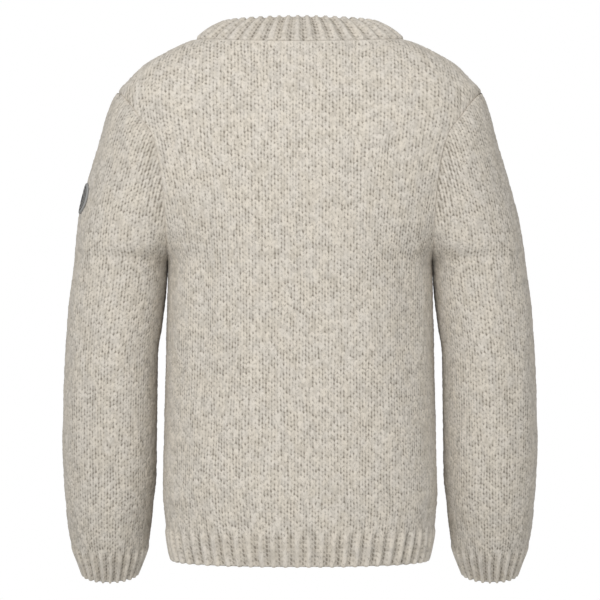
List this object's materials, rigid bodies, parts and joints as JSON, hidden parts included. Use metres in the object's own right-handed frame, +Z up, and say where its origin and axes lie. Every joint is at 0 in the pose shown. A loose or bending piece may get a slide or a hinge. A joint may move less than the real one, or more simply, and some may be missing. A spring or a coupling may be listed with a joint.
{
  "type": "wool sweater",
  "caption": "Bulky knitted wool pullover with set-in sleeves, ribbed neckband, hem and cuffs, filled out as worn with no wearer.",
  "frame": {"origin": "middle of the neck opening, level with the top of the shoulder seams, where a wearer's shoulders and neck carry the garment", "axes": "+Z up, -Y towards the front, +X towards the wearer's left"},
  "size_m": [0.6172, 0.2472, 0.7333],
  "materials": {
    "body_wool": "heathered stocking-stitch wool, matt and slightly hairy",
    "sleeve_wool": "heathered stocking-stitch wool, matt and slightly hairy",
    "rib_wool": "heathered wool in one-and-one rib, matt",
    "patch_felt": "dark felt with a pale stitched border"
  },
  "bodies": {
    "root": {"back": "body_wool", "front": "body_wool", "sleeve_left": "sleeve_wool", "sleeve_right": "sleeve_wool", "neckband": "rib_wool", "sleeve_patch": "patch_felt"}
  },
  "joints": []
}
